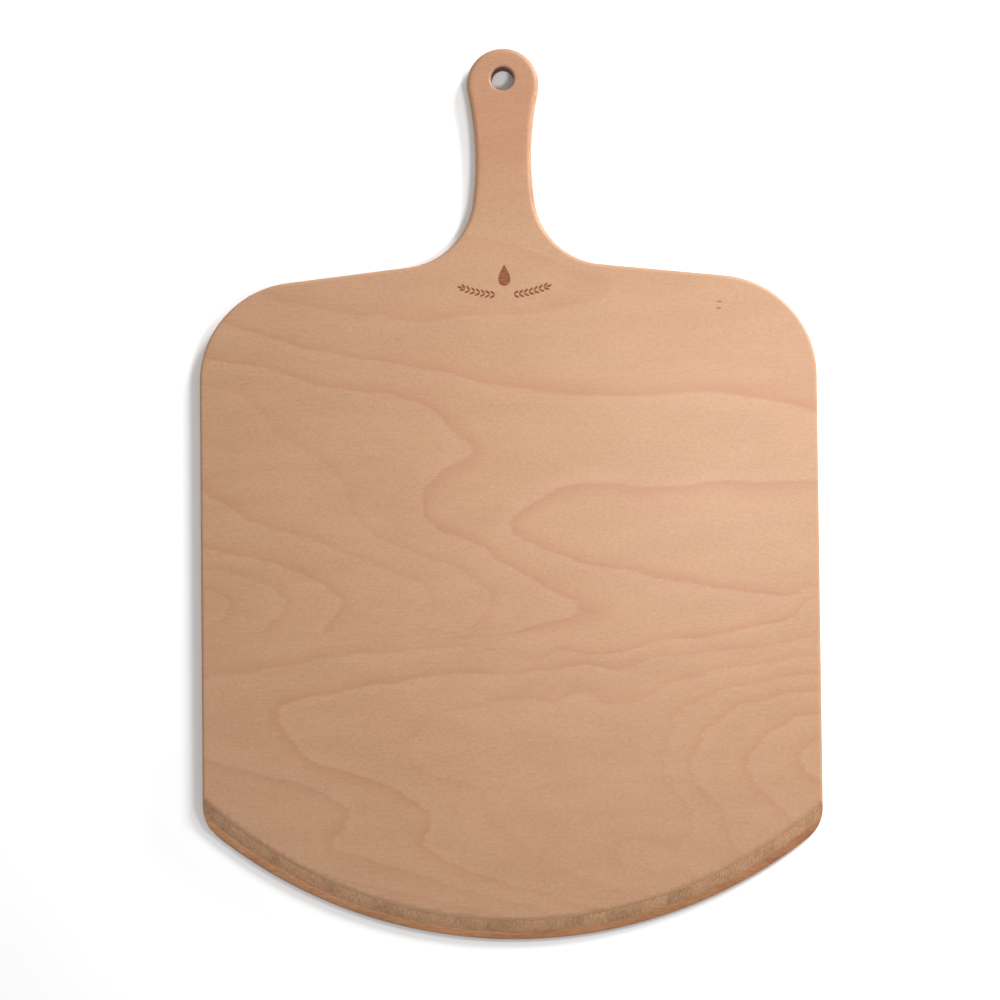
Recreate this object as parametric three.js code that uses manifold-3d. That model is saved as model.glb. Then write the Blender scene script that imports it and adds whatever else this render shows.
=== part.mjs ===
// A pizza peel cut from one sheet of beech plywood: five plies held together by four films of cured glue.
// It lies flat. Millimetres, +Z up. The handle points along +Y, the bevelled front edge faces -Y,
// and the origin is on the underside, in the middle of the outline.
import * as THREE from 'three';
import { mergeVertices } from 'three/addons/utils/BufferGeometryUtils.js';
import Module from 'manifold-3d';

const wasm = await Module();
wasm.setup();

const degrees = THREE.MathUtils.degToRad;

// Overall size
const LENGTH = 520;
const WIDTH = 360;

// Lay-up: the same thicknesses above and below the centre ply, 10 mm in all
const FACE_THICKNESS = 0.625;
const INNER_THICKNESS = 2.75;
const GLUE_THICKNESS = 0.125;

// Outline, from the handle's end round to the front edge. Each turn is the angle that its arc covers.
const KNOB_RADIUS = 21;
const KNOB_TURN = degrees(102);
const NECK_RADIUS = 190;
const NECK_TURN = degrees(19.8);
const THROAT_RADIUS = 43;
const SHOULDER_SLOPE = degrees(6.3);
const SHOULDER_CORNER_RADIUS = 58.5;
const FRONT_CORNER_RADIUS = 22;
const FRONT_RADIUS = 280;

// Rounded edges: softer on the handle than on the blade, changing over in the throat
const BLADE_ROUND_OVER = 2;
const HANDLE_ROUND_OVER = 3;
const ROUND_OVER_CHANGE_START = 132;
const ROUND_OVER_CHANGE_END = 172;

// The front bevel is part of a cone about the centre of the front arc, and ends in a rounded nose
const BEVEL_WIDTH = 14.2;
const BEVEL_ANGLE = degrees(22);
const NOSE_RADIUS = 2.4;

// Hanging hole
const HOLE_RADIUS = 6.5;
const HOLE_TO_HANDLE_END = 18;
const HOLE_ROUND_OVER = 1.75;

// Facets: an arc's chords stray this far from it, and a quarter round has this many steps
const CHORD_ERROR = 0.08;
const QUARTER_ROUND_STEPS = 3;

// Cutters and slabs reach this far past the board, and the nose ends just outside the blank's front edge
const CUTTER_MARGIN = 5;
const NOSE_MARGIN = 0.1;
const MERGE_DISTANCE = 1e-4;

// Colours and surface of the bare, lightly oiled wood
const FACE_COLOUR = 0xd4a684;
const INNER_COLOUR = 0xb07c55;
const CROSSBAND_COLOUR = 0xad8a6a;
const GLUE_COLOUR = 0x6f4c36;

const handleEnd = LENGTH / 2;
const halfWidth = WIDTH / 2;
const thickness = 2 * FACE_THICKNESS + 3 * INNER_THICKNESS + 4 * GLUE_THICKNESS;
const frontCentre = new THREE.Vector2(0, FRONT_RADIUS - LENGTH / 2);
const holeCentre = new THREE.Vector2(0, handleEnd - HOLE_TO_HANDLE_END);

function arcSteps(radius, turn) {
  return Math.ceil(Math.abs(turn) / (2 * Math.acos(1 - CHORD_ERROR / radius)));
}

// Walks along lines and arcs. heading is the direction of travel, and a positive turn is to the left.
class Walk {
  constructor(start) {
    this.at = start.clone();
    this.heading = 0;
    this.points = [this.sample()];
  }

  toTheLeft() {
    return new THREE.Vector2(-Math.sin(this.heading), Math.cos(this.heading));
  }

  sample() {
    return { at: this.at.clone(), outward: this.toTheLeft() };
  }

  arc(radius, turn) {
    const leftRadius = Math.sign(turn) * radius;
    const centre = this.at.clone().addScaledVector(this.toTheLeft(), leftRadius);
    const steps = arcSteps(radius, turn);
    for (let step = 0; step < steps; step += 1) {
      this.heading += turn / steps;
      this.at = centre.clone().addScaledVector(this.toTheLeft(), -leftRadius);
      this.points.push(this.sample());
    }
  }

  lineTo(x, y) {
    this.at.set(x, y);
    this.points.push(this.sample());
  }
}

// The whole outline, anticlockwise, as points that each know which way is outward. The right half is walked
// clockwise from the handle's end, so outward is to the left, and the left half mirrors it.
function outline() {
  const walk = new Walk(new THREE.Vector2(0, handleEnd));
  const throatTurn = KNOB_TURN - NECK_TURN - SHOULDER_SLOPE;
  const cornerStart = halfWidth - SHOULDER_CORNER_RADIUS * (1 - Math.sin(SHOULDER_SLOPE));
  const frontCornerReach = Math.acos(
    (halfWidth - FRONT_CORNER_RADIUS) / (FRONT_RADIUS - FRONT_CORNER_RADIUS),
  );
  const frontCornerDrop = (FRONT_RADIUS - FRONT_CORNER_RADIUS) * Math.sin(frontCornerReach);

  walk.arc(KNOB_RADIUS, -KNOB_TURN);
  walk.arc(NECK_RADIUS, NECK_TURN);
  walk.arc(THROAT_RADIUS, throatTurn);
  walk.lineTo(cornerStart, walk.at.y - (cornerStart - walk.at.x) * Math.tan(SHOULDER_SLOPE));
  walk.arc(SHOULDER_CORNER_RADIUS, SHOULDER_SLOPE - Math.PI / 2);
  walk.lineTo(halfWidth, frontCentre.y - frontCornerDrop);
  walk.arc(FRONT_CORNER_RADIUS, -frontCornerReach);
  walk.arc(FRONT_RADIUS, frontCornerReach - Math.PI / 2);

  const mirrored = ({ at, outward }) => ({
    at: new THREE.Vector2(-at.x, at.y),
    outward: new THREE.Vector2(-outward.x, outward.y),
  });
  const leftHalf = walk.points.slice(1, -1).map(mirrored);
  return [...leftHalf, ...walk.points.slice().reverse()];
}

function roundOverAt(y) {
  const onHandle = THREE.MathUtils.smoothstep(y, ROUND_OVER_CHANGE_START, ROUND_OVER_CHANGE_END);
  return THREE.MathUtils.lerp(BLADE_ROUND_OVER, HANDLE_ROUND_OVER, onHandle);
}

// The angles of a quarter round, from 0 to a right angle
function quarterAngles() {
  const steps = Array.from({ length: QUARTER_ROUND_STEPS + 1 }, (_, step) => step);
  return steps.map((step) => (step / QUARTER_ROUND_STEPS) * (Math.PI / 2));
}

// One turn round the edge. lift is 0 where the edge is upright and a right angle where it meets a face.
function edgeRing(points, lift, onTop) {
  return points.map(({ at, outward }) => {
    const radius = roundOverAt(at.y);
    const inset = at.clone().addScaledVector(outward, -radius * (1 - Math.cos(lift)));
    const depth = radius * (1 - Math.sin(lift));
    return [inset.x, inset.y, onTop ? thickness - depth : depth];
  });
}

// The board before its bevel and its hole: rings round the edge, closed by the two flat faces
function boardBlank() {
  const points = outline();
  const rings = [
    ...quarterAngles().reverse().map((lift) => edgeRing(points, lift, false)),
    ...quarterAngles().map((lift) => edgeRing(points, lift, true)),
  ];
  const count = points.length;
  const index = [];
  for (let ring = 0; ring + 1 < rings.length; ring += 1) {
    for (let i = 0; i < count; i += 1) {
      const next = (i + 1) % count;
      const low = ring * count;
      const high = low + count;
      index.push(low + i, low + next, high + next);
      index.push(low + i, high + next, high + i);
    }
  }
  const capContour = rings[0].map(([x, y]) => new THREE.Vector2(x, y));
  const topStart = (rings.length - 1) * count;
  for (const [a, b, c] of THREE.ShapeUtils.triangulateShape(capContour, [])) {
    index.push(topStart + a, topStart + b, topStart + c);
    index.push(c, b, a);
  }
  const geometry = new THREE.BufferGeometry();
  geometry.setAttribute('position', new THREE.Float32BufferAttribute(rings.flat(2), 3));
  geometry.setIndex(index);
  return geometry;
}

// Turns a profile of (radius, height) points about an upright axis at centre. facetRadius sets the facets.
function turned(profile, centre, facetRadius) {
  const geometry = new THREE.LatheGeometry(profile, arcSteps(facetRadius, 2 * Math.PI));
  geometry.rotateX(Math.PI / 2);
  geometry.translate(centre.x, centre.y, 0);
  return geometry;
}

// What the bevel takes off: everything outside a cone that runs into the rounded nose
function bevelCutter() {
  const start = FRONT_RADIUS - BEVEL_WIDTH;
  const slope = Math.tan(BEVEL_ANGLE);
  const noseCentreRadius = FRONT_RADIUS + NOSE_MARGIN - NOSE_RADIUS;
  const tangentRadius = noseCentreRadius + NOSE_RADIUS * Math.sin(BEVEL_ANGLE);
  const tangentHeight = thickness - (tangentRadius - start) * slope;
  const noseCentreHeight = tangentHeight - NOSE_RADIUS * Math.cos(BEVEL_ANGLE);
  const nose = quarterAngles().map((angle) => {
    const fromUpright = THREE.MathUtils.mapLinear(angle, 0, Math.PI / 2, BEVEL_ANGLE, Math.PI / 2);
    return new THREE.Vector2(
      noseCentreRadius + NOSE_RADIUS * Math.sin(fromUpright),
      noseCentreHeight + NOSE_RADIUS * Math.cos(fromUpright),
    );
  });
  const inner = start - CUTTER_MARGIN;
  const outer = FRONT_RADIUS + CUTTER_MARGIN;
  const above = thickness + CUTTER_MARGIN;
  const coneTop = new THREE.Vector2(inner, thickness + CUTTER_MARGIN * slope);
  const profile = [
    coneTop,
    ...nose,
    new THREE.Vector2(outer, noseCentreHeight),
    new THREE.Vector2(outer, above),
    new THREE.Vector2(inner, above),
    coneTop,
  ];
  return turned(profile, frontCentre, FRONT_RADIUS);
}

// What the hole takes out: a bore that opens in a quarter round at both faces
function holeCutter() {
  const rim = HOLE_RADIUS + HOLE_ROUND_OVER;
  const lowerRound = quarterAngles().map((angle) => new THREE.Vector2(
    rim - HOLE_ROUND_OVER * Math.sin(angle),
    HOLE_ROUND_OVER * (1 - Math.cos(angle)),
  ));
  const lowerHalf = [
    new THREE.Vector2(0, -CUTTER_MARGIN),
    new THREE.Vector2(rim, -CUTTER_MARGIN),
    ...lowerRound,
  ];
  const upperHalf = lowerHalf.map(({ x, y }) => new THREE.Vector2(x, thickness - y)).reverse();
  return turned([...lowerHalf, ...upperHalf], holeCentre, HOLE_RADIUS);
}

function toSolid(geometry) {
  geometry.deleteAttribute('normal');
  geometry.deleteAttribute('uv');
  const merged = mergeVertices(geometry, MERGE_DISTANCE);
  const mesh = new wasm.Mesh({
    numProp: 3,
    vertProperties: merged.attributes.position.array,
    triVerts: Uint32Array.from(merged.index.array),
  });
  return new wasm.Manifold(mesh);
}

function toMesh(name, solid, material) {
  const { vertProperties, triVerts } = solid.getMesh();
  const geometry = new THREE.BufferGeometry();
  geometry.setAttribute('position', new THREE.BufferAttribute(vertProperties, 3));
  geometry.setIndex(new THREE.BufferAttribute(triVerts, 1));
  geometry.computeVertexNormals();
  const mesh = new THREE.Mesh(geometry, material);
  mesh.name = name;
  return mesh;
}

function wood(color) {
  return new THREE.MeshStandardMaterial({ color, roughness: 0.6, metalness: 0 });
}

function glue() {
  return new THREE.MeshStandardMaterial({ color: GLUE_COLOUR, roughness: 0.45, metalness: 0 });
}

// From the underside up
const layers = [
  { name: 'bottom_face_veneer', depth: FACE_THICKNESS, material: wood(FACE_COLOUR) },
  { name: 'bottom_glue_film', depth: GLUE_THICKNESS, material: glue() },
  { name: 'lower_crossband', depth: INNER_THICKNESS, material: wood(CROSSBAND_COLOUR) },
  { name: 'lower_glue_film', depth: GLUE_THICKNESS, material: glue() },
  { name: 'centre_ply', depth: INNER_THICKNESS, material: wood(INNER_COLOUR) },
  { name: 'upper_glue_film', depth: GLUE_THICKNESS, material: glue() },
  { name: 'upper_crossband', depth: INNER_THICKNESS, material: wood(CROSSBAND_COLOUR) },
  { name: 'top_glue_film', depth: GLUE_THICKNESS, material: glue() },
  { name: 'top_face_veneer', depth: FACE_THICKNESS, material: wood(FACE_COLOUR) },
];

const board = toSolid(boardBlank())
  .subtract(toSolid(bevelCutter()))
  .subtract(toSolid(holeCutter()));

const peel = new THREE.Group();
let level = 0;
for (const { name, depth, material } of layers) {
  const slab = new THREE.BoxGeometry(WIDTH + CUTTER_MARGIN, LENGTH + CUTTER_MARGIN, depth);
  slab.translate(0, 0, level + depth / 2);
  peel.add(toMesh(name, board.intersect(toSolid(slab)), material));
  level += depth;
}

export default peel;
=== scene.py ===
"""Looks for a plywood pizza peel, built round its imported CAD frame.

Each ply and glue film is a fine mesh that takes the place of its CAD node. A finely rounded board is cut by
the front bevel and the hanging hole, and then sliced by slabs whose faces waver as real glue lines do.
Lengths are in metres, apart from those of the growth rings and of the figure in the materials, which are in
millimetres. +X is right, +Y runs to the handle and +Z is up.
"""

import math

import bpy
import numpy as np
from mathutils import Matrix, Vector


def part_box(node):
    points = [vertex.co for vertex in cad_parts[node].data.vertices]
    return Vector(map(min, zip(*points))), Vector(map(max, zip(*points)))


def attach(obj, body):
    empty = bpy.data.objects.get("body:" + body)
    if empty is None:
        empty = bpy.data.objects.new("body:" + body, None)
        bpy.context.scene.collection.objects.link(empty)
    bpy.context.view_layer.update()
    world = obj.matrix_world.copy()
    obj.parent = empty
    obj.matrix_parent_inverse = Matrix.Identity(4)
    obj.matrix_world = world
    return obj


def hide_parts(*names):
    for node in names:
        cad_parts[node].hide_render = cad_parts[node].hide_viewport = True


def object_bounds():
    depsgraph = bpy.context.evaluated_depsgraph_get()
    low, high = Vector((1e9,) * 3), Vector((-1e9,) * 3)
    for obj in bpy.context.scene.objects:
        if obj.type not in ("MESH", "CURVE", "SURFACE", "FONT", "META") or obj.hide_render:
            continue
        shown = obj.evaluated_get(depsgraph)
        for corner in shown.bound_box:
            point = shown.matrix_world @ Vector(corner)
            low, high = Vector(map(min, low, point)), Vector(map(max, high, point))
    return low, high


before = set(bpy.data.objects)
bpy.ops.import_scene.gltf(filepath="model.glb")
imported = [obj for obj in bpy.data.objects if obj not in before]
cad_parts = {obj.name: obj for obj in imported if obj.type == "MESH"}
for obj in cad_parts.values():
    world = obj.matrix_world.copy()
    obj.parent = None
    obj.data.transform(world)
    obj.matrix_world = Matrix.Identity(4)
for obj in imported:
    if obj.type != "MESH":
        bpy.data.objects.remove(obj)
cad_low, cad_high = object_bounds()

MM = 0.001
X, Y, Z = range(3)
THICKNESS = cad_high.z
HANDLE_END = cad_high.y
HALF_WIDTH = cad_high.x

# The outline's arcs, from the handle's end to the front edge, and the angle that each one turns through
KNOB_RADIUS = 21 * MM
KNOB_TURN = math.radians(102)
NECK_RADIUS = 190 * MM
NECK_TURN = math.radians(19.8)
THROAT_RADIUS = 43 * MM
SHOULDER_SLOPE = math.radians(6.3)
SHOULDER_RADIUS = 58.5 * MM
FRONT_CORNER_RADIUS = 22 * MM
FRONT_RADIUS = 280 * MM
FRONT_CENTRE = (0.0, FRONT_RADIUS - HANDLE_END)

# Rounded edges, softer on the handle
BLADE_ROUND_OVER = 2 * MM
HANDLE_ROUND_OVER = 3 * MM
ROUND_OVER_CHANGE = (132 * MM, 172 * MM)

# The front bevel is cut a little off centre, so it is wider on the left
BEVEL_START_RADIUS = 265.8 * MM
BEVEL_ANGLE = math.radians(22)
BEVEL_DRIFT = 1.2 * MM
NOSE_RADIUS = 2.4 * MM
NOSE_MARGIN = 0.1 * MM

HOLE_CENTRE = (0.0, HANDLE_END - 18 * MM)
HOLE_RADIUS = 6.5 * MM
HOLE_ROUND_OVER = 1.75 * MM

# How finely the shapes are drawn
OUTLINE_STEP = 1.6 * MM
QUARTER_ROUND_STEPS = 7
HOLE_SIDES = 96
CUTTER_MARGIN = 5 * MM
FACE_GRID = 2.5 * MM
PLY_GRID = 2.2 * MM
PLY_GRID_BEHIND = 4 * MM
BEVEL_REACH = 130 * MM
SHARP_ANGLE = math.radians(28)


# ---------------------------------------------------------------- camera, light and floor

CAMERA_LENS = 55.77
CAMERA_DISTANCE = 0.9
CAMERA_AIM = Vector((-3.77 * MM, -4.22 * MM, THICKNESS))
CAMERA_ROLL = math.radians(-0.585)
CAMERA_SIDEWAYS = math.radians(2.785)
CAMERA_TILT = math.radians(0.977)

AMBIENT = 0.59
FLOOR_SIZE = 6.0
FLOOR_CELLS = 12
FLOOR_GAP = 0.1 * MM
FLOOR_DEPTH = 20 * MM


def add_camera():
    turn = (
        Matrix.Rotation(CAMERA_ROLL, 3, "Z")
        @ Matrix.Rotation(CAMERA_SIDEWAYS, 3, "Y")
        @ Matrix.Rotation(CAMERA_TILT, 3, "X")
    )
    camera = bpy.data.objects.new("camera", bpy.data.cameras.new("camera"))
    camera.data.lens = CAMERA_LENS
    camera.location = CAMERA_AIM + CAMERA_DISTANCE * turn.col[2]
    camera.rotation_euler = turn.to_euler()
    bpy.context.scene.collection.objects.link(camera)
    bpy.context.scene.camera = camera


def add_light(name, place, aim, watts, diameter):
    lamp = bpy.data.lights.new(name, "AREA")
    lamp.shape = "DISK"
    lamp.size = diameter
    lamp.energy = watts
    light = bpy.data.objects.new(name, lamp)
    light.location = place
    light.rotation_euler = (Vector(aim) - Vector(place)).to_track_quat("-Z", "Y").to_euler()
    bpy.context.scene.collection.objects.link(light)


def from_bearing(bearing, height, distance):
    """A place around the origin, by its bearing from +X and its height in degrees."""
    around, up = math.radians(bearing), math.radians(height)
    level = distance * math.cos(up)
    return (level * math.cos(around), level * math.sin(around), distance * math.sin(up))


# Each light's name, place, aim, watts and diameter. The last one hangs low over the right of the blade,
# where the photo is brightest.
LIGHTS = [
    ("key_light", from_bearing(50, 30, 2.4), (0, 0, 0), 43.5, 0.6),
    ("rim_light", from_bearing(38, 10, 2.0), (0, 0, 0), 30.0, 0.4),
    ("side_light", (0.18, 0.03, 0.41), (0.11, 0.02, 0), 1.07, 0.12),
]


def add_ambient():
    world = bpy.data.worlds.new("studio")
    world.use_nodes = True
    world.node_tree.nodes["Background"].inputs["Color"].default_value = (1, 1, 1, 1)
    world.node_tree.nodes["Background"].inputs["Strength"].default_value = AMBIENT
    bpy.context.scene.world = world
    bpy.context.scene.view_settings.view_transform = "Standard"


# ---------------------------------------------------------------- mesh tools


def new_object(name, vertices, faces):
    mesh = bpy.data.meshes.new(name)
    mesh.from_pydata([tuple(v) for v in vertices], [], faces)
    mesh.update()
    made = bpy.data.objects.new(name, mesh)
    bpy.context.scene.collection.objects.link(made)
    return made


def delete(*objects):
    for item in objects:
        mesh = item.data
        bpy.data.objects.remove(item)
        bpy.data.meshes.remove(mesh)


def loft(name, rings, joined=False):
    """A skin over anticlockwise rings, lowest first. The end rings are capped, or joined to each other."""
    count = len(rings[0])
    faces = []
    for level in range(len(rings) if joined else len(rings) - 1):
        low = level * count
        high = (level + 1) % len(rings) * count
        for i in range(count):
            after = (i + 1) % count
            faces.append((low + i, low + after, high + after, high + i))
    if not joined:
        faces.append(tuple(range(count))[::-1])
        faces.append(tuple(range((len(rings) - 1) * count, len(rings) * count)))
    return new_object(name, np.concatenate(rings), faces)


def circle(centre, radius, height, sides):
    angle = np.linspace(0, 2 * math.pi, sides, endpoint=False)
    x = centre[0] + radius * np.cos(angle)
    y = centre[1] + radius * np.sin(angle)
    return np.column_stack([x, y, np.full(sides, height)])


def slab(name, xs, ys, low, high):
    """A block on a grid whose under and upper faces follow the height functions low and high."""
    x, y = (axis.ravel() for axis in np.meshgrid(xs, ys))
    under = np.column_stack([x, y, low(x, y)])
    upper = np.column_stack([x, y, high(x, y)])
    across, along = len(xs), len(ys)
    total = across * along
    faces = []
    for j in range(along - 1):
        for i in range(across - 1):
            a = j * across + i
            b, c, d = a + 1, a + across + 1, a + across
            faces.append((total + a, total + b, total + c, total + d))
            faces.append((a, d, c, b))
    rim = [
        *range(across - 1),
        *range(across - 1, total - 1, across),
        *range(total - 1, total - across, -1),
        *range(total - across, 0, -across),
    ]
    for a, b in zip(rim, rim[1:] + rim[:1]):
        faces.append((a, b, total + b, total + a))
    return new_object(name, np.concatenate([under, upper]), faces)


def combine(target, tool, operation):
    """Cuts target by tool, or keeps what they share, and leaves the result in target."""
    modifier = target.modifiers.new("combine", "BOOLEAN")
    modifier.solver = "MANIFOLD"
    modifier.operation = operation
    modifier.object = tool
    bpy.context.view_layer.update()
    result = target.evaluated_get(bpy.context.evaluated_depsgraph_get())
    mesh = bpy.data.meshes.new_from_object(result)
    old = target.data
    target.modifiers.clear()
    target.data = mesh
    bpy.data.meshes.remove(old)
    return target


def corners(mesh):
    """The mesh's vertices as rows of x, y, z."""
    flat = np.empty(len(mesh.vertices) * 3)
    mesh.vertices.foreach_get("co", flat)
    return flat.reshape(-1, 3)


def shade(item):
    """Smooth shading that breaks at real corners."""
    item.data.shade_smooth()
    item.data.set_sharp_from_angle(angle=SHARP_ANGLE)


# ---------------------------------------------------------------- board


class Walk:
    """Walks along lines and arcs. Each row is a point and the direction outward. A left turn is positive."""

    def __init__(self, x, y):
        self.x, self.y, self.heading = x, y, 0.0
        self.rows = [self.row()]

    def row(self):
        return (self.x, self.y, -math.sin(self.heading), math.cos(self.heading))

    def arc(self, radius, turn):
        reach = math.copysign(radius, turn)
        centre_x = self.x - reach * math.sin(self.heading)
        centre_y = self.y + reach * math.cos(self.heading)
        steps = math.ceil(radius * abs(turn) / OUTLINE_STEP)
        for _ in range(steps):
            self.heading += turn / steps
            self.x = centre_x + reach * math.sin(self.heading)
            self.y = centre_y - reach * math.cos(self.heading)
            self.rows.append(self.row())

    def line_to(self, x, y):
        start_x, start_y = self.x, self.y
        steps = math.ceil(math.hypot(x - start_x, y - start_y) / OUTLINE_STEP)
        for step in range(1, steps + 1):
            self.x = start_x + (x - start_x) * step / steps
            self.y = start_y + (y - start_y) * step / steps
            self.rows.append(self.row())


def outline():
    """The whole outline anticlockwise, as rows of point and outward direction."""
    walk = Walk(0.0, HANDLE_END)
    corner_start = HALF_WIDTH - SHOULDER_RADIUS * (1 - math.sin(SHOULDER_SLOPE))
    front_reach = math.acos(
        (HALF_WIDTH - FRONT_CORNER_RADIUS) / (FRONT_RADIUS - FRONT_CORNER_RADIUS)
    )
    front_drop = (FRONT_RADIUS - FRONT_CORNER_RADIUS) * math.sin(front_reach)
    walk.arc(KNOB_RADIUS, -KNOB_TURN)
    walk.arc(NECK_RADIUS, NECK_TURN)
    walk.arc(THROAT_RADIUS, KNOB_TURN - NECK_TURN - SHOULDER_SLOPE)
    walk.line_to(corner_start, walk.y - (corner_start - walk.x) * math.tan(SHOULDER_SLOPE))
    walk.arc(SHOULDER_RADIUS, SHOULDER_SLOPE - math.pi / 2)
    walk.line_to(HALF_WIDTH, FRONT_CENTRE[1] - front_drop)
    walk.arc(FRONT_CORNER_RADIUS, -front_reach)
    walk.arc(FRONT_RADIUS, front_reach - math.pi / 2)
    right = np.array(walk.rows)
    left = right[1:-1] * (-1, 1, -1, 1)
    return np.concatenate([left, right[::-1]])


def smooth_step(low, high, value):
    t = np.clip((value - low) / (high - low), 0, 1)
    return t * t * (3 - 2 * t)


def board_blank():
    """The board before its bevel and hole. It overshoots both faces, which the slabs then make flat."""
    rows = outline()
    radius = BLADE_ROUND_OVER + (HANDLE_ROUND_OVER - BLADE_ROUND_OVER) * smooth_step(
        *ROUND_OVER_CHANGE, rows[:, 1]
    )
    lifts = np.linspace(0, math.pi / 2, QUARTER_ROUND_STEPS + 1)

    def ring(lift, height):
        inset = radius * (1 - math.cos(lift))
        place = rows[:, :2] - rows[:, 2:] * inset[:, None]
        return np.column_stack([place, height])

    def depth(lift):
        return radius * (1 - math.sin(lift))

    level = np.ones(len(rows))
    rings = [ring(math.pi / 2, -CUTTER_MARGIN * level)]
    rings += [ring(lift, depth(lift)) for lift in lifts[::-1]]
    rings += [ring(lift, THICKNESS - depth(lift)) for lift in lifts]
    rings += [ring(math.pi / 2, (THICKNESS + CUTTER_MARGIN) * level)]
    return loft("board", rings)


def bevel_cutter():
    """Everything outside a cone that runs into the rounded nose."""
    slope = math.tan(BEVEL_ANGLE)
    nose_centre = FRONT_RADIUS + NOSE_MARGIN - NOSE_RADIUS
    tangent = nose_centre + NOSE_RADIUS * math.sin(BEVEL_ANGLE)
    nose_height = (
        THICKNESS
        - (tangent - BEVEL_START_RADIUS) * slope
        - NOSE_RADIUS * math.cos(BEVEL_ANGLE)
    )
    inner = BEVEL_START_RADIUS - CUTTER_MARGIN
    outer = FRONT_RADIUS + 2 * CUTTER_MARGIN
    above = THICKNESS + 3 * CUTTER_MARGIN
    profile = [(inner, THICKNESS + CUTTER_MARGIN * slope)]
    for angle in np.linspace(BEVEL_ANGLE, math.pi / 2, QUARTER_ROUND_STEPS + 1):
        profile.append((
            nose_centre + NOSE_RADIUS * math.sin(angle),
            nose_height + NOSE_RADIUS * math.cos(angle),
        ))
    profile += [(outer, nose_height), (outer, above), (inner, above)]
    centre = (FRONT_CENTRE[0] + BEVEL_DRIFT, FRONT_CENTRE[1])
    sides = math.ceil(2 * math.pi * FRONT_RADIUS / OUTLINE_STEP)
    return loft("bevel", [circle(centre, r, z, sides) for r, z in profile], joined=True)


def hole_cutter():
    """A bore that opens in a quarter round at both faces."""
    rim = HOLE_RADIUS + HOLE_ROUND_OVER
    angles = np.linspace(0, math.pi / 2, QUARTER_ROUND_STEPS + 1)
    lower = [(rim, -2 * CUTTER_MARGIN)]
    for angle in angles:
        lower.append((
            rim - HOLE_ROUND_OVER * math.sin(angle),
            HOLE_ROUND_OVER * (1 - math.cos(angle)),
        ))
    upper = [(r, THICKNESS - z) for r, z in lower[::-1]]
    rings = [circle(HOLE_CENTRE, r, z, HOLE_SIDES) for r, z in lower + upper]
    return loft("hole", rings)


def cut_board():
    board = board_blank()
    for cutter in (bevel_cutter(), hole_cutter()):
        combine(board, cutter, "DIFFERENCE")
        delete(cutter)
    return board


# ---------------------------------------------------------------- lay-up

# From the underside up: the CAD node, and the record's finish for it
LAYERS = [
    ("bottom_face_veneer", "face_veneer"),
    ("bottom_glue_film", "glue_line"),
    ("lower_crossband", "crossband"),
    ("lower_glue_film", "glue_line"),
    ("centre_ply", "centre_ply"),
    ("upper_glue_film", "glue_line"),
    ("upper_crossband", "crossband"),
    ("top_glue_film", "glue_line"),
    ("top_face_veneer", "face_veneer"),
]

# Each glue line wavers by a few waves of these lengths and heights, in random directions
WAVES = [(70 * MM, 0.08 * MM), (31 * MM, 0.07 * MM), (13 * MM, 0.055 * MM), (7 * MM, 0.035 * MM)]
FILM_VARIATION = 0.25
WAVE_SEED = 11
chance = np.random.default_rng(WAVE_SEED)


def wavering(level, strength):
    """A height function near level, made of seeded waves."""
    waves = []
    for length, height in WAVES:
        bearing = chance.uniform(0, math.pi)
        phase = chance.uniform(0, 2 * math.pi)
        waves.append((length, height * strength, bearing, phase))

    def height_at(x, y):
        total = np.full_like(x, level)
        for length, height, bearing, phase in waves:
            along = x * math.cos(bearing) + y * math.sin(bearing)
            total += height * np.sin(2 * math.pi * along / length + phase)
        return total

    return height_at


def level_at(level):
    return lambda x, y: np.full_like(x, level)


def interfaces():
    """The height functions between the layers, with the flat underside first and the flat top last.
    A film's two faces share their waves, apart from a small part of their own."""
    tops = [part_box(node)[1].z for node, _ in LAYERS]
    heights = [level_at(0.0)]
    for number, level in enumerate(tops[:-1]):
        if LAYERS[number][1] == "glue_line":
            shared, under = heights[-1], tops[number - 1]
            own = wavering(level - under, FILM_VARIATION)
            heights.append(lambda x, y, shared=shared, own=own: shared(x, y) + own(x, y))
        else:
            heights.append(wavering(level, 1.0))
    heights.append(level_at(THICKNESS))
    return heights


def grid_lines(low, high, step):
    return np.linspace(low, high, math.ceil((high - low) / step) + 1)


def make_layer(board, node, finish, low, high):
    """One ply or film: what the board and a slab share. The inner layers are finest where the bevel cuts."""
    side, end = HALF_WIDTH + CUTTER_MARGIN, HANDLE_END + CUTTER_MARGIN
    if finish == "face_veneer":
        xs, ys = grid_lines(-side, side, FACE_GRID), grid_lines(-end, end, FACE_GRID)
    else:
        xs = grid_lines(-side, side, PLY_GRID)
        front = grid_lines(-end, BEVEL_REACH - end, PLY_GRID)
        ys = np.concatenate([front[:-1], grid_lines(BEVEL_REACH - end, end, PLY_GRID_BEHIND)])
    layer = slab(node + "_fine", xs, ys, low, high)
    combine(layer, board, "INTERSECT")
    return layer


# ---------------------------------------------------------------- burnt mark

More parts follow.
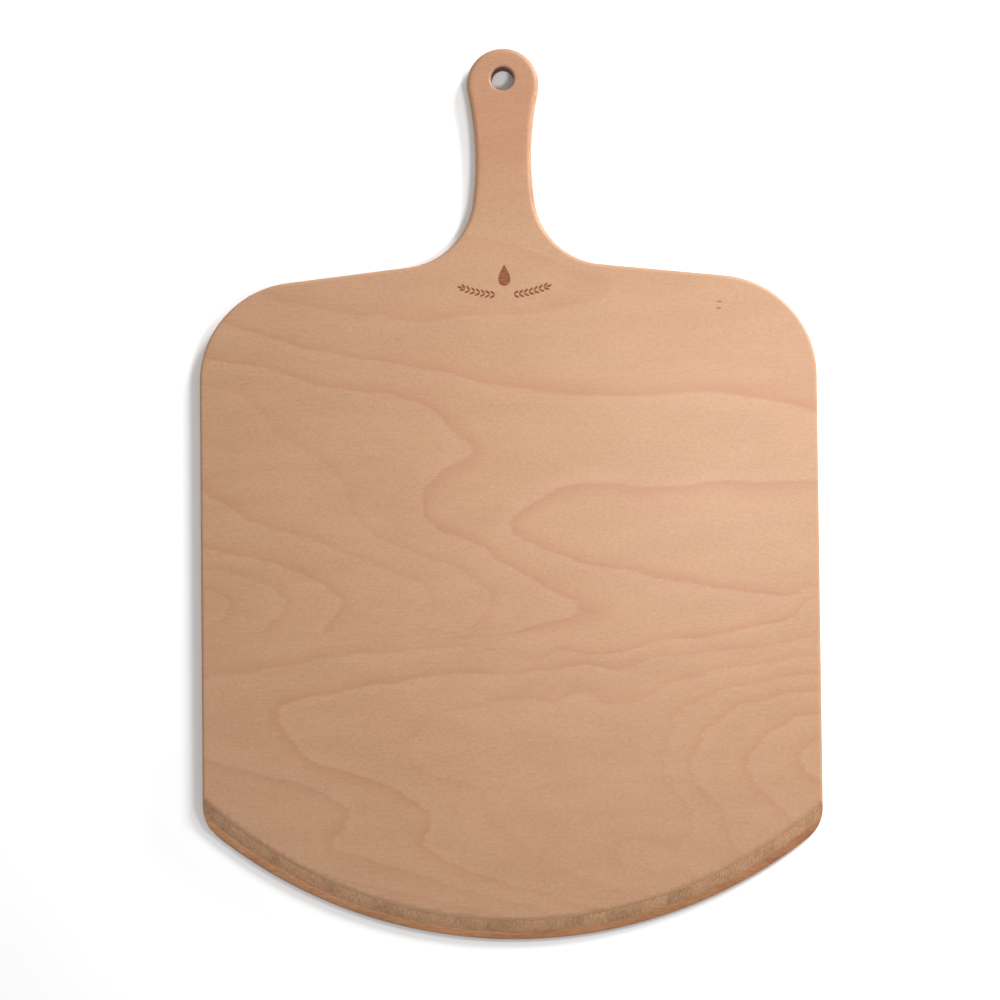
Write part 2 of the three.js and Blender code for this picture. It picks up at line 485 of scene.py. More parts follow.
# A generic mark in the throat: a small flame between two ears of wheat, burnt a little into the face
MARK_CENTRE = (0.0, 122.5 * MM)
MARK_REACH = (28 * MM, 11 * MM)
MARK_DEPTH = 0.15 * MM
BURNT_HEIGHTS = (THICKNESS - 1.5 * MARK_DEPTH, THICKNESS - 0.01 * MM)
FLAME_SIZE = (7.4 * MM, 12.5 * MM)
FLAME_MIDDLE = 4.2 * MM
FLAME_FULLNESS = 0.65
FLAME_TAPER = 1.3
EAR_GRAINS = 7
EAR_SPACING = 2.9 * MM
EAR_START = 5.2 * MM
EAR_RISE = 5.0 * MM
EAR_BOTTOM = -7.5 * MM
GRAIN_SIZE = (3.5 * MM, 1.35 * MM)
GRAIN_TAPER = 0.35
GRAIN_ANGLE = math.radians(33)
STALK_LENGTH = 0.35 * MM
TIP_ANGLE = 0.35
TIP_GAP = 0.5 * MM


def drop_outline(width, height, count=28):
    """A drop with its point up, centred on the origin, anticlockwise."""
    t = np.linspace(0, 2 * math.pi, count, endpoint=False)
    x = FLAME_FULLNESS * width * np.sin(t) * np.abs(np.sin(t / 2)) ** FLAME_TAPER
    y = 0.5 * height * np.cos(t)
    return np.column_stack([-x, y])


def grain_outline(length, width, count=16):
    """A pointed oval along X, anticlockwise."""
    t = np.linspace(0, 2 * math.pi, count, endpoint=False)
    x = 0.5 * length * np.cos(t)
    y = 0.5 * width * np.sin(t) * np.abs(np.sin(t)) ** GRAIN_TAPER
    return np.column_stack([x, y])


def turned(points, angle, place):
    turn = np.array([[math.cos(angle), math.sin(angle)], [-math.sin(angle), math.cos(angle)]])
    return points @ turn + place


def ear_height(along):
    """The wheat's stem rises outward in a shallow curve."""
    reach = EAR_START + EAR_GRAINS * EAR_SPACING
    return EAR_RISE * (along / reach) ** 2 + EAR_BOTTOM


def mark_shapes():
    """The closed outlines of the right ear, the left ear and the flame."""
    right = []
    for number in range(EAR_GRAINS):
        along = EAR_START + number * EAR_SPACING
        slope = math.atan2(ear_height(along + MM) - ear_height(along), MM)
        middle = np.array([along, ear_height(along)])
        for side in (-1, 1):
            angle = slope + side * GRAIN_ANGLE
            reach = 0.5 * GRAIN_SIZE[0] + STALK_LENGTH
            offset = np.array([math.cos(angle), math.sin(angle)]) * reach
            right.append(turned(grain_outline(*GRAIN_SIZE), angle, middle + offset))
    tip = EAR_START + EAR_GRAINS * EAR_SPACING
    right.append(turned(grain_outline(*GRAIN_SIZE), TIP_ANGLE, (tip + TIP_GAP, ear_height(tip))))
    left = [shape[::-1] * (-1, 1) for shape in right]
    return right + left + [drop_outline(*FLAME_SIZE) + (0, FLAME_MIDDLE)]


def mark_cutter():
    cutters = []
    low, high = THICKNESS - MARK_DEPTH, THICKNESS + CUTTER_MARGIN
    for shape in mark_shapes():
        place = shape + MARK_CENTRE
        rings = [np.column_stack([place, np.full(len(place), z)]) for z in (low, high)]
        cutters.append(loft("mark", rings))
    whole = cutters[0]
    for other in cutters[1:]:
        combine(whole, other, "UNION")
        delete(other)
    return whole


# ---------------------------------------------------------------- growth rings of the faces

# The figure of rotary-cut beech is where the knife met the growth rings. Each line below is the edge of one
# ring on the top face: its number in the count of rings, how strongly it shows at its first and last point,
# and the points it passes through in millimetres. SPOTS give the count between the lines. Most of the points
# were picked by eye on the photo and turned into whole millimetres by a separate program, through the camera
# above; the rest were set by hand. The rings meet in a crease across the left of the blade, so what lies
# behind it and what lies in front of it are drawn apart.
RINGS_BEHIND = [
    (2, 0.35, 0.35, [(-19, 228), (-7, 224), (12, 221)]),
    (1, 0.35, 0.35, [(-19, 203), (-7, 202), (4, 199), (13, 197)]),
    (0, 0.5, 0.35, [(-142, 118), (-120, 113), (-96, 107), (-73, 105), (-47, 101), (-3, 106), (24, 107),
                    (44, 111), (59, 118), (49, 125), (33, 131), (15, 139), (-6, 146), (-24, 150)]),
    (1, 0.75, 1.05, [(-164, 102), (-142, 95), (-120, 87), (-85, 80), (-50, 73), (-15, 65), (14, 61),
                     (55, 57), (90, 57), (124, 58), (147, 54), (177, 47)]),
    (1, 0.9, 1.0, [(178, 4), (141, 3), (106, 2), (77, 1), (54, 4), (37, 3), (22, -3), (8, -13), (3, -19),
                   (8, -25), (22, -32), (46, -41), (77, -46), (106, -52), (134, -57), (154, -60)]),
    (1, 0.8, 0.2, [(166, -60), (179, -57)]),
    (2, 1.0, 0.5, [(150, -77), (160, -74), (167, -69), (171, -64), (179, -61)]),
    (2, 0.9, 0.9, [(-176, 81), (-156, 78), (-126, 71), (-97, 63), (-67, 59), (-47, 53), (-38, 46), (-30, 36),
                   (-18, 26), (-19, 21), (-33, 15), (-43, 6), (-48, -5), (-46, -15), (-36, -22), (-19, -28),
                   (-4, -39), (19, -51), (39, -61), (58, -70), (42, -72), (27, -76), (13, -81)]),
    (3, 0.3, 0.55, [(-178, 66), (-156, 61), (-146, 53), (-126, 32), (-103, 17), (-93, 3), (-90, -10),
                    (-80, -22), (-57, -33), (-29, -43), (-9, -59), (-15, -74), (-27, -82)]),
    (4, 0.85, 0.3, [(-177, 4), (-159, -7), (-145, -16), (-109, -27), (-80, -38), (-54, -50), (-43, -63),
                    (-46, -72), (-52, -80)]),
    (5, 0.85, 0.8, [(-177, -30), (-156, -35), (-127, -43), (-109, -51), (-96, -62), (-99, -70), (-107, -80)]),
    (6, 0.5, 0.55, [(-177, -43), (-157, -46), (-142, -51), (-128, -60), (-131, -68), (-139, -76)]),
    (7, 0.55, 0.5, [(-176, -54), (-166, -58), (-161, -63), (-169, -73), (-177, -77)]),
]
SPOTS_BEHIND = [
    (0, 121, -0.5), (0, 171, 0.5), (0, 250, 2.6), (113, 110, 0.35), (159, 86, 0.45), (67, 82, 0.5),
    (-32, 86, 0.5), (54, -19, 0.35), (112, -26, 0.3), (163, -29, 0.35), (173, -44, 0.6), (8, 31, 1.5),
    (2, 2, 1.45), (55, 30, 1.3), (112, 29, 1.3), (164, 26, 1.3), (80, -62, 1.4), (111, -72, 1.5),
    (148, -68, 1.5),
    (-120, 56, 2.4), (-68, 26, 2.35), (-162, 33, 3.2), (-150, 9, 3.5),
]
RINGS_IN_FRONT = [
    (2, 0.6, 0.6, [(-177, -105), (-151, -103), (-122, -98), (-95, -93), (-66, -92), (-40, -89)]),
    (2, 0.25, 0.15, [(-18, -89), (0, -94), (18, -98)]),
    (2, 0.9, 1.0, [(47, -95), (76, -90), (111, -84), (140, -77), (158, -73)]),
    (3, 0.3, 0.4, [(178, -87), (149, -88), (114, -92), (82, -95)]),
    (3, 1.0, 0.9, [(47, -98), (18, -101), (-16, -104), (-51, -106), (-81, -110), (-116, -116),
                   (-131, -121), (-136, -127), (-132, -135), (-127, -146), (-117, -155), (-104, -160),
                   (-84, -166), (-67, -172), (-52, -180)]),
    (3, 1.0, 0.45, [(-47, -188), (-50, -198), (-49, -206), (-38, -214), (-18, -222), (6, -230), (29, -236),
                    (52, -241)]),
    (2, 0.65, 0.9, [(-177, -154), (-160, -160), (-143, -164), (-122, -168), (-108, -175), (-96, -182),
                    (-95, -189)]),
    (2, 0.7, 0.35, [(-102, -198), (-105, -206), (-96, -210), (-73, -216), (-47, -223), (-18, -232),
                    (11, -238)]),
    (1, 0.3, 0.3, [(-105, -221), (-76, -229), (-41, -237), (-12, -243)]),
    (4, 0.6, 0.45, [(176, -95), (136, -101), (106, -107), (85, -116), (56, -122), (24, -122)]),
    (4, 0.35, 0.2, [(-17, -123), (-40, -127), (-53, -140), (-58, -154), (-43, -165), (-17, -172), (-6, -192),
                    (17, -211), (47, -225), (78, -231)]),
    (5, 0.45, 0.4, [(176, -106), (142, -112), (113, -119), (99, -125), (94, -135), (92, -147), (89, -158),
                    (95, -171), (105, -183)]),
    (6, 0.8, 0.6, [(177, -115), (156, -117), (134, -122), (119, -133), (108, -147), (103, -160),
                   (107, -170), (118, -179)]),
    (7, 0.8, 0.6, [(177, -128), (159, -134), (143, -147), (137, -160), (147, -174), (161, -187)]),
    (8, 0.6, 0.8, [(177, -143), (170, -147), (164, -156), (169, -162), (177, -168)]),
    (4.8, 0.25, 0.35, [(12, -138), (34, -143), (55, -152), (82, -157), (70, -167), (52, -173), (19, -169)]),
    (5, 0.35, 0.35, [(61, -207), (75, -200), (89, -204), (97, -210), (101, -217), (86, -221), (66, -217)]),
]
SPOTS_IN_FRONT = [
    (20, -154, 4.5), (48, -162, 4.5), (-15, -148, 4.5), (53, -133, 4.6), (29, -185, 4.45),
    (75, -190, 4.6), (78, -211, 5.25),
    (-93, -140, 3.35), (-116, -134, 3.25), (-73, -189, 2.4), (-157, -140, 2.6), (-166, -119, 2.35),
    (-143, -195, 1.25), (-163, -178, 1.45), (-121, -85, 1.6), (-169, -84, 1.6), (-63, -83, 1.6),
    (30, -86, 1.6), (-35, -195, 3.2), (-6, -213, 3.5),
    (112, -208, 5.6), (132, -195, 6.2),
]
CREASE_Y = -82.5
CREASE_HALF_WIDTH = 1.7
CREASE_FADE = (-5.0, 70.0)
CREASE_FADED_HALF_WIDTH = 16.0
RING_EASE = 0.002
STRENGTH_BLUR = 3.0
RING_BATCHES = 12

DECIMETRE = 100.0
LEAST_SQUARE = 1e-12

RING_ATTRIBUTES = ("ring_count", "ring_pace", "ring_feather", "ring_strength")

# A ring's edge wavers with the fibres, by this many millimetres along and across the grain. Its dark side is
# wider along the grain, and its width follows the spacing of the rings, but less than fully.
FEATHER = (4.6, 0.9)
MOST_FEATHER = 0.5
FADE_STRETCH = 0.55
TYPICAL_PACE = 1 / 35
PACE_LIMITS = (1 / 200, 1 / 5)
PACE_SHARE = 0.6

# The underside is another sheet of the same log: a slope across the blade with a few swells in it, each given
# by its middle, its reach along and across the grain and how many rings it is high. Ripples keep the rings
# from being ovals. Each is given by its turn in radians per millimetre along X and Y, and its height.
UNDERSIDE_STRENGTH = 0.8
UNDERSIDE_SLOPE = (0.0035, -0.021)
UNDERSIDE_SWELLS = [
    ((-95, 20), (130, 34), 3.1),
    ((120, -60), (110, 28), -2.4),
    ((20, -170), (95, 26), 2.7),
    ((150, 90), (80, 24), 1.9),
    ((-120, -150), (70, 22), -1.6),
    ((-10, 110), (85, 20), -1.3),
]
UNDERSIDE_RIPPLES = [
    ((0.017, 0.061), 0.28),
    ((-0.034, 0.043), 0.20),
    ((0.049, 0.101), 0.11),
    ((0.083, -0.07), 0.07),
]


def thin_plate(squared):
    """How far a thin sheet that is pushed at one point rises at a squared distance from it."""
    return 0.5 * squared * np.log(np.maximum(squared, LEAST_SQUARE))


def ring_surface(rings, spots):
    """The smoothest sheet through the given counts, as a function of x and y in millimetres. Places are
    solved in decimetres, which keeps the numbers near one."""
    known = [(x, y, count) for count, _, _, points in rings for x, y in points] + spots
    known = np.array(known, float)
    places, counts = known[:, :2] / DECIMETRE, known[:, 2]
    size = len(known)
    gaps = ((places[:, None] - places[None]) ** 2).sum(-1)
    plane = np.column_stack([np.ones(size), places])
    system = np.zeros((size + 3, size + 3))
    system[:size, :size] = thin_plate(gaps) + RING_EASE * np.eye(size)
    system[:size, size:] = plane
    system[size:, :size] = plane.T
    weights = np.linalg.solve(system, np.concatenate([counts, np.zeros(3)]))

    def count_at(x, y):
        here = np.column_stack([x, y]) / DECIMETRE
        squared = ((here[:, None] - places[None]) ** 2).sum(-1)
        tilt = here @ weights[size + 1 :] + weights[size]
        return thin_plate(squared) @ weights[:size] + tilt

    return count_at


def top_ring_count(x, y):
    behind = ring_surface(RINGS_BEHIND, SPOTS_BEHIND)(x, y)
    in_front = ring_surface(RINGS_IN_FRONT, SPOTS_IN_FRONT)(x, y)
    fade = smooth_step(*CREASE_FADE, x)
    half = CREASE_HALF_WIDTH + (CREASE_FADED_HALF_WIDTH - CREASE_HALF_WIDTH) * fade
    share = smooth_step(-1, 1, (y - CREASE_Y) / half)
    return in_front + (behind - in_front) * share


def underside_ring_count(x, y):
    total = UNDERSIDE_SLOPE[0] * x + UNDERSIDE_SLOPE[1] * y
    for (middle_x, middle_y), (along, across), height in UNDERSIDE_SWELLS:
        away = ((x - middle_x) / along) ** 2 + ((y - middle_y) / across) ** 2
        total = total + height * np.exp(-away)
    for (turn_x, turn_y), height in UNDERSIDE_RIPPLES:
        total = total + height * np.sin(turn_x * x + turn_y * y)
    return total


def top_ring_strength(x, y):
    """How strongly the rings show at each place, which is as the nearest lines say."""
    known = []
    for _, first, last, points in RINGS_BEHIND + RINGS_IN_FRONT:
        for (at_x, at_y), strength in zip(points, np.linspace(first, last, len(points))):
            known.append((at_x, at_y, strength))
    known = np.array(known)
    here = np.column_stack([x, y])
    squared = ((here[:, None] - known[None, :, :2]) ** 2).sum(-1)
    weight = 1 / (squared + STRENGTH_BLUR**2) ** 2
    return weight @ known[:, 2] / weight.sum(1)


def underside_ring_strength(x, y):
    return np.full_like(x, UNDERSIDE_STRENGTH)


def write_rings(layer, count_at, strength_at):
    """Stores at each point of the veneer how many rings out it lies, how many rings pass in a millimetre,
    how many rings its feathering crosses, and how strongly the rings show."""
    mm = corners(layer.data) / MM
    columns = []
    for part in np.array_split(mm, RING_BATCHES):
        x, y = part[:, :2].T
        slope_x = (count_at(x + 1, y) - count_at(x - 1, y)) / 2
        slope_y = (count_at(x, y + 1) - count_at(x, y - 1)) / 2
        pace = np.clip(np.hypot(FADE_STRETCH * slope_x, slope_y), *PACE_LIMITS)
        eased = pace**PACE_SHARE * TYPICAL_PACE ** (1 - PACE_SHARE)
        feather = np.minimum(np.hypot(FEATHER[0] * slope_x, FEATHER[1] * slope_y), MOST_FEATHER)
        columns.append(np.stack([count_at(x, y), eased, feather, strength_at(x, y)]))
    for name, values in zip(RING_ATTRIBUTES, np.concatenate(columns, axis=1)):
        attribute = layer.data.attributes.new(name, "FLOAT", "POINT")
        attribute.data.foreach_set("value", values.astype(np.float32))


# ---------------------------------------------------------------- materials


class Paint:
    """Builds one material's nodes. A value is a number or another node's output."""

    def __init__(self, name):
        self.material = bpy.data.materials.new(name)
        self.material.use_nodes = True
        self.tree = self.material.node_tree
        self.surface = self.tree.nodes["Principled BSDF"]
        place = self.node("ShaderNodeTexCoord").outputs["Object"]
        self.place = self.scaled(place, (1 / MM, 1 / MM, 1 / MM))

    def node(self, kind, **settings):
        made = self.tree.nodes.new(kind)
        for name, value in settings.items():
            setattr(made, name, value)
        return made

    def put(self, socket, value):
        if isinstance(value, bpy.types.NodeSocket):
            self.tree.links.new(value, socket)
        else:
            socket.default_value = value

    def math(self, operation, a, b=0.0, c=0.0, clamp=False):
        made = self.node("ShaderNodeMath", operation=operation, use_clamp=clamp)
        for socket, value in zip(made.inputs, (a, b, c)):
            self.put(socket, value)
        return made.outputs[0]

    def scaled(self, vector, factors):
        made = self.node("ShaderNodeVectorMath", operation="MULTIPLY")
        self.put(made.inputs[0], vector)
        made.inputs[1].default_value = factors
        return made.outputs[0]

    def noise(self, size, detail=2.0, roughness=0.5, offset=0.0):
        """Noise from 0 to 1 whose features are about size millimetres along X, Y and Z."""
        stretched = self.scaled(self.place, tuple(1 / s for s in size))
        moved = self.node("ShaderNodeVectorMath", operation="ADD")
        self.put(moved.inputs[0], stretched)
        moved.inputs[1].default_value = (offset, offset, offset)
        made = self.node("ShaderNodeTexNoise")
        self.put(made.inputs["Vector"], moved.outputs[0])
        made.inputs["Scale"].default_value = 1.0
        made.inputs["Detail"].default_value = detail
        made.inputs["Roughness"].default_value = roughness
        return made.outputs["Fac"]

    def span(self, value, low, high, to_low=0.0, to_high=1.0, smooth=True):
        """Maps low..high to to_low..to_high and holds the ends."""
        made = self.node("ShaderNodeMapRange")
        made.interpolation_type = "SMOOTHSTEP" if smooth else "LINEAR"
        for socket, number in zip(made.inputs, (value, low, high, to_low, to_high)):
            self.put(socket, number)
        return made.outputs[0]

    def mix(self, share, a, b, blend="MIX"):
        made = self.node("ShaderNodeMix", data_type="RGBA", blend_type=blend)
        self.put(made.inputs["Factor"], share)
        self.put(made.inputs[6], a if isinstance(a, bpy.types.NodeSocket) else (*a, 1))
        self.put(made.inputs[7], b if isinstance(b, bpy.types.NodeSocket) else (*b, 1))
        return made.outputs[2]

    def spot(self, centre, size):
        """One inside an oval of this size about centre, in millimetres, and nothing well outside it."""
        away = self.node("ShaderNodeVectorMath", operation="SUBTRACT")
        self.put(away.inputs[0], self.place)
        away.inputs[1].default_value = centre
        scaled = self.scaled(away.outputs[0], tuple(2 / s for s in size))
        length = self.node("ShaderNodeVectorMath", operation="LENGTH")
        self.put(length.inputs[0], scaled)
        return self.span(length.outputs["Value"], *SPOT_EDGE)

    def shaded(self, colour, tone):
        """The colour made lighter or darker by tone, and a little paler or redder with it."""
        factor = self.node("ShaderNodeCombineColor")
        for socket, share in zip(factor.inputs, TONE_SHARES):
            self.put(socket, self.math("MULTIPLY_ADD", tone, share, 1.0))
        return self.mix(1.0, colour, factor.outputs[0], blend="MULTIPLY")

    def hole_shade(self, colour):
        """Paints a dark brown shade on the wall of the hanging hole."""
        x, y = (centre / MM for centre in HOLE_CENTRE)
        near = self.spot((x, y, 0.5 * THICKNESS / MM), HOLE_SHADE_REACH)
        wall = self.math("SUBTRACT", 1.0, self.facing(Z))
        return self.mix(self.math("MULTIPLY", near, wall), colour, HOLE_SHADE_BROWN)

    def cut(self, colour, axis, end_colour):
        """Darkens the wood where the cut ends its grain, which runs along axis, and paints shade on the wall
        of the hole.
        """
        end_grain = self.math("POWER", self.facing(axis), END_POWER)
        return self.hole_shade(self.mix(self.math("MULTIPLY", end_grain, END_SHARE), colour, end_colour))

    def along(self, axis):
        """The place along one axis, in millimetres."""
        parts = self.node("ShaderNodeSeparateXYZ")
        self.put(parts.inputs[0], self.place)
        return parts.outputs[axis]

    def facing(self, axis):
        """How squarely the surface faces along one axis, from 0 to 1."""
        parts = self.node("ShaderNodeSeparateXYZ")
        self.put(parts.inputs[0], self.node("ShaderNodeNewGeometry").outputs["Normal"])
        return self.math("ABSOLUTE", parts.outputs[axis])

    def finish(self, colour, roughness, height, depth, gloss=0.35):
        self.put(self.surface.inputs["Base Color"], colour)
        self.put(self.surface.inputs["Roughness"], roughness)
        self.surface.inputs["Specular IOR Level"].default_value = gloss
        bump = self.node("ShaderNodeBump")
        bump.inputs["Strength"].default_value = 1.0
        bump.inputs["Distance"].default_value = depth
        self.put(bump.inputs["Height"], height)
        self.put(self.surface.inputs["Normal"], bump.outputs[0])
        return self.material


def along_grain(axis, length, width):
    """A size for noise that is long along one axis and fine across it."""
    return tuple(length if number == axis else width for number in range(3))


# Colours, in linear light
FACE_TAN = (0.388, 0.215, 0.119)
FACE_PALE = (0.397, 0.224, 0.127)
FACE_LATE = (0.366, 0.176, 0.097)
FACE_FLECK = (0.285, 0.140, 0.072)
FACE_END = (0.33, 0.175, 0.095)
CROSSBAND_TAN = (0.466, 0.260, 0.140)
CROSSBAND_DARK = (0.235, 0.120, 0.058)
CROSSBAND_PALE = (0.500, 0.320, 0.190)
CENTRE_TAN = (0.462, 0.222, 0.106)
CENTRE_DARK = (0.290, 0.115, 0.045)
CENTRE_PALE = (0.520, 0.300, 0.140)
GLUE_BROWN = (0.270, 0.135, 0.070)
GLUE_PALE = (0.360, 0.200, 0.110)
# Painted shade on the wall of the hanging hole
HOLE_SHADE_BROWN = (0.100, 0.028, 0.012)
FLOOR_DULL = (0.955, 0.955, 0.955)
FLOOR_CLEAN = (0.975, 0.975, 0.975)
BURNT_DARK = (0.115, 0.032, 0.009)
BURNT_BROWN = (0.255, 0.090, 0.031)

# The handle is darker and redder. Between these places along Y in millimetres it turns from the first to the
# second share of late wood.
HANDLE_WARMTH = (150, 215, 0.0, 0.65)

# How much the tone of the wood moves red, green and blue
TONE_SHARES = (1.0, 1.3, 1.6)

# Sizes of the figure in the faces, in millimetres along X, Y and Z
FACE_SWAY = (9, 1.1, 1.1)
FACE_DRIFT = (26, 6, 6)
FACE_DASH = (2.3, 1.4, 1.4)
FACE_FIBRE = (16, 0.9, 0.9)
FACE_MOTTLE = (45, 14, 14)
FACE_PORE = (2.6, 0.45, 0.45)

# Sizes of the figure in the inner plies, in millimetres along and across the grain
PLY_FIBRE = (9, 0.9)
PLY_PATCH = (40, 11)
PLY_STREAK = (12, 1.1)
PLY_DASH = (6.0, 0.9)

# Sizes of the patches in the glue, the scorched wood and the floor
GLUE_PATCH = (7, 7, 2)
GLUE_SPECK = (0.8, 0.8, 0.8)
BURNT_FIBRE = (5, 0.5, 0.5)
FLOOR_CLOUD = (90, 90, 90)

# Most of a noise lies in the narrow range, and nearly all of it in the wide one. The others are the parts of
# its range that a feature fades in over.
NARROW = (0.25, 0.75)
WIDE = (0.2, 0.8)
PATCHY = (0.3, 0.7)
PORE_RANGE = (0.64, 0.80)
PLY_FIBRE_RANGE = (0.35, 0.7)
PLY_PATCH_RANGE = (0.42, 0.72)
PLY_STREAK_RANGE = (0.52, 0.70)
PLY_DASH_RANGE = (0.46, 0.70)
GLUE_PATCH_RANGE = (0.35, 0.7)

# How strongly each part of the figure shows
DASH_TONE = 0.080
FIBRE_TONE = 0.036
MOTTLE_TONE = 0.025
PORE_SHARE = 0.45
PORE_DEPTH = -0.8
LATE_POWER = 2.4
LATE_BREAKS = (0.55, 1.3)
END_POWER = 1.5
END_SHARE = 0.45
FIBRE_SHARE = 0.5
PATCH_SHARE = 0.5
STREAK_SHARE = 0.35
DASH_SHARE = 0.48
DASH_DEPTH = -0.7
SPOT_EDGE = (1.3, 0.6)
# How far to each side of the middle, in millimetres, the painted light and shade of a ply runs
PAINTED_LIGHT_REACH = 150

# Lowest and highest roughness, and how deep the bump is
FACE_ROUGHNESS = (0.46, 0.62)
PLY_ROUGHNESS = (0.52, 0.72)
GLUE_ROUGHNESS = (0.35, 0.55)
BURNT_ROUGHNESS = (0.6, 0.8)
FLOOR_ROUGHNESS = (0.6, 0.7)
FACE_BUMP = 0.03 * MM
PLY_BUMP = 0.06 * MM
GLUE_BUMP = 0.02 * MM
BURNT_BUMP = 0.04 * MM
FLOOR_BUMP = 0.01 * MM

# How far the painted shade on the hole's wall can reach, in millimetres across the hole and through the board
HOLE_SHADE_REACH = (22, 22, 60)

# Widths in millimetres of a ring's dark side, of the step after it and of the pale wood that follows
RING_FADE = 12.0
RING_EDGE = 2.2
RING_PALE = 14.0

# Two small pin knots near the right shoulder, in millimetres, placed on the photo as the rings were
PIN_KNOTS = [(124.3, 109.2), (124.0, 105.4)]
PIN_KNOT_SIZE = (3.2, 1.1, 2.0)


def face_material(name):
    """Rotary-cut beech with its grain along X. Each ring darkens slowly and ends at a feathered line."""
    paint = Paint(name)
    count, pace, feather, strength = (
        paint.node("ShaderNodeAttribute", attribute_name=stored).outputs["Fac"]
        for stored in RING_ATTRIBUTES
    )
    fine = paint.noise(FACE_SWAY, detail=3, roughness=0.6)
    broad = paint.noise(FACE_DRIFT, detail=2, offset=7)
    sway = paint.math("SUBTRACT", paint.math("MULTIPLY_ADD", fine, 1.0, broad), 1.0)
    feathering = paint.math("MULTIPLY", feather, 2.0)
    ring = paint.math("FRACT", paint.math("MULTIPLY_ADD", sway, feathering, count))
    before = paint.math("DIVIDE", paint.math("SUBTRACT", 1.0, ring), pace)
    after = paint.math("DIVIDE", ring, pace)
    late = paint.math(
        "MAXIMUM",
        paint.math("POWER", paint.span(before, RING_FADE, 0.0, smooth=False), LATE_POWER),
        paint.span(after, RING_EDGE, 0.0),
    )
    early = paint.math(
        "MULTIPLY",
        paint.span(after, 0.0, RING_EDGE),
        paint.span(after, RING_PALE, RING_EDGE),
    )

    dash = paint.noise(FACE_DASH, detail=3, roughness=0.6, offset=41)
    fibre = paint.noise(FACE_FIBRE, detail=4, roughness=0.6)
    mottle = paint.noise(FACE_MOTTLE, detail=3, offset=19)
    broken = paint.math("MULTIPLY", strength, paint.span(dash, *NARROW, *LATE_BREAKS, smooth=False))
    colour = paint.mix(paint.math("MULTIPLY", early, strength), FACE_TAN, FACE_PALE)
    colour = paint.mix(paint.math("MULTIPLY", late, broken, clamp=True), colour, FACE_LATE)
    colour = paint.mix(paint.span(paint.along(Y), *HANDLE_WARMTH), colour, FACE_LATE)

    tone = paint.span(dash, *NARROW, -DASH_TONE, DASH_TONE, smooth=False)
    tone = paint.math("ADD", tone, paint.span(fibre, *NARROW, -FIBRE_TONE, FIBRE_TONE, smooth=False))
    tone = paint.math("ADD", tone, paint.span(mottle, *PATCHY, -MOTTLE_TONE, MOTTLE_TONE))
    colour = paint.shaded(colour, tone)

    pores = paint.span(paint.noise(FACE_PORE, detail=1), *PORE_RANGE)
    colour = paint.mix(paint.math("MULTIPLY", pores, PORE_SHARE), colour, FACE_FLECK)
    for x, y in PIN_KNOTS:
        colour = paint.mix(paint.spot((x, y, THICKNESS / MM), PIN_KNOT_SIZE), colour, BURNT_BROWN)
    # Darker end grain at the edges, and painted shade on the wall of the hanging hole
    colour = paint.cut(colour, X, FACE_END)

    height = paint.math("MULTIPLY_ADD", pores, PORE_DEPTH, paint.math("ADD", fibre, dash))
    rough = paint.span(fibre, *WIDE, *FACE_ROUGHNESS, smooth=False)
    return paint.finish(colour, rough, height, FACE_BUMP, gloss=0.5)


def ply_material(name, axis, tan, dark, pale, painted_light_lean, seed):
    """An inner ply seen in section, with its grain along axis: streaks along the grain, and darker where the
    cut ends it. Painted light and shade make it lighter on the left and darker on the right by lean."""
    paint = Paint(name)
    fibre = paint.noise(along_grain(axis, *PLY_FIBRE), detail=4, roughness=0.65, offset=seed)
    patch = paint.noise(along_grain(axis, *PLY_PATCH), detail=2, offset=seed + 5)
    streak = paint.noise(along_grain(axis, *PLY_STREAK), detail=2, offset=seed + 9)
    streak = paint.span(streak, *PLY_STREAK_RANGE)
    dash = paint.noise(along_grain(axis, *PLY_DASH), detail=2, offset=seed)
    dash = paint.span(dash, *PLY_DASH_RANGE)
    share = paint.math(
        "MULTIPLY_ADD",
        paint.span(fibre, *PLY_FIBRE_RANGE),
        FIBRE_SHARE,
        paint.span(patch, *PLY_PATCH_RANGE, 0.0, PATCH_SHARE),
    )
    colour = paint.mix(share, tan, dark)
    colour = paint.mix(paint.math("MULTIPLY", streak, STREAK_SHARE), colour, pale)
    colour = paint.mix(paint.math("MULTIPLY", dash, DASH_SHARE), colour, dark)
    # Painted light and shade: the ply is made lighter on the left and darker on the right
    painted_light_tone = paint.span(paint.along(X), -PAINTED_LIGHT_REACH, PAINTED_LIGHT_REACH, painted_light_lean, -painted_light_lean, smooth=False)
    # Darker end grain, and painted shade on the wall of the hanging hole
    colour = paint.cut(paint.shaded(colour, painted_light_tone), axis, dark)
    rough = paint.span(fibre, *WIDE, *PLY_ROUGHNESS, smooth=False)
    return paint.finish(colour, rough, paint.math("MULTIPLY_ADD", dash, DASH_DEPTH, fibre), PLY_BUMP)


def glue_material(name):
    """Cured glue, darker where the film is thick and paler where wood fibre shows in it."""
    paint = Paint(name)
    patch = paint.noise(GLUE_PATCH, detail=3)
    speck = paint.noise(GLUE_SPECK, detail=2)
    colour = paint.mix(paint.span(patch, *GLUE_PATCH_RANGE), GLUE_BROWN, GLUE_PALE)
    rough = paint.span(speck, *WIDE, *GLUE_ROUGHNESS)
    return paint.finish(colour, rough, speck, GLUE_BUMP)


def burnt_material(name):
    """Wood scorched by the marking iron."""
    paint = Paint(name)
    fibre = paint.noise(BURNT_FIBRE, detail=3)
    colour = paint.mix(paint.span(fibre, *PATCHY), BURNT_DARK, BURNT_BROWN)
    return paint.finish(colour, paint.span(fibre, *WIDE, *BURNT_ROUGHNESS), fibre, BURNT_BUMP)


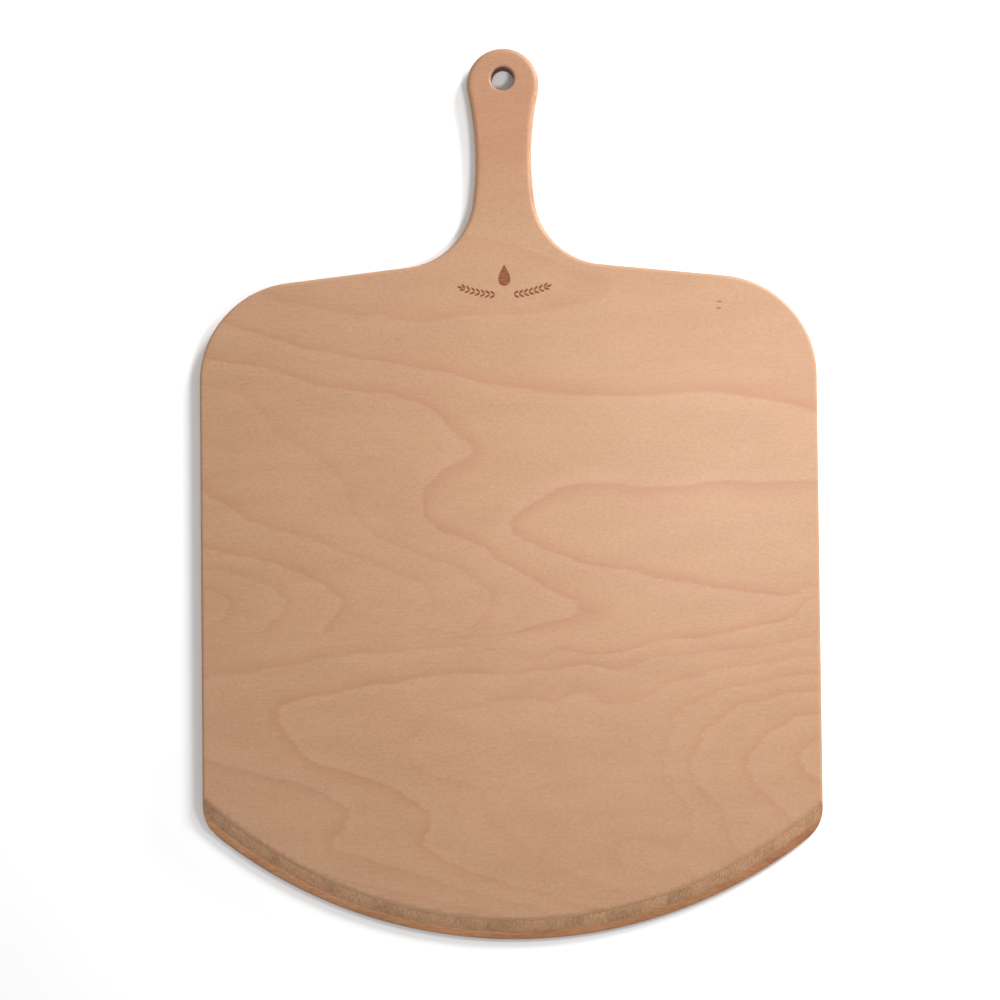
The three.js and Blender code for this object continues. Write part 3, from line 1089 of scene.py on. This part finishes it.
def floor_material():
    paint = Paint("floor_paint")
    cloud = paint.noise(FLOOR_CLOUD, detail=3)
    colour = paint.mix(cloud, FLOOR_DULL, FLOOR_CLEAN)
    rough = paint.span(cloud, *WIDE, *FLOOR_ROUGHNESS)
    return paint.finish(colour, rough, cloud, FLOOR_BUMP, gloss=0.1)


# ---------------------------------------------------------------- the scene


def burn(layer, material):
    """Gives the scorched material to the walls and floors of the mark."""
    layer.data.materials.append(material)
    for face in layer.data.polygons:
        aside = abs(face.center.x - MARK_CENTRE[0])
        ahead = abs(face.center.y - MARK_CENTRE[1])
        sunk = BURNT_HEIGHTS[0] < face.center.z < BURNT_HEIGHTS[1]
        if sunk and aside < MARK_REACH[0] and ahead < MARK_REACH[1]:
            face.material_index = 1


def add_floor():
    half = FLOOR_SIZE / 2
    lines = np.linspace(-half, half, FLOOR_CELLS + 1)
    sheet = slab("floor", lines, lines, level_at(-FLOOR_DEPTH), level_at(-FLOOR_GAP))
    sheet.data.materials.append(floor_material())


def main():
    add_camera()
    add_ambient()
    for light in LIGHTS:
        add_light(*light)
    add_floor()
    materials = {
        "face_veneer": face_material("face_beech"),
        "crossband": ply_material(
            "crossband_beech", Y, CROSSBAND_TAN, CROSSBAND_DARK, CROSSBAND_PALE, painted_light_lean=0.0, seed=2.0
        ),
        # The centre ply has painted light and shade across the blade
        "centre_ply": ply_material(
            "centre_beech", X, CENTRE_TAN, CENTRE_DARK, CENTRE_PALE, painted_light_lean=0.16, seed=31.0
        ),
        "glue_line": glue_material("cured_glue"),
    }
    board = cut_board()
    heights = interfaces()
    for (node, finish), low, high in zip(LAYERS, heights, heights[1:]):
        layer = make_layer(board, node, finish, low, high)
        if node == "top_face_veneer":
            cutter = mark_cutter()
            combine(layer, cutter, "DIFFERENCE")
            delete(cutter)
        if finish == "face_veneer":
            if node == "top_face_veneer":
                write_rings(layer, top_ring_count, top_ring_strength)
            else:
                write_rings(layer, underside_ring_count, underside_ring_strength)
        layer.data.materials.clear()
        layer.data.materials.append(materials[finish])
        if node == "top_face_veneer":
            burn(layer, burnt_material("burnt_beech"))
        shade(layer)
        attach(layer, "root")
        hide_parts(node)
    delete(board)


main()
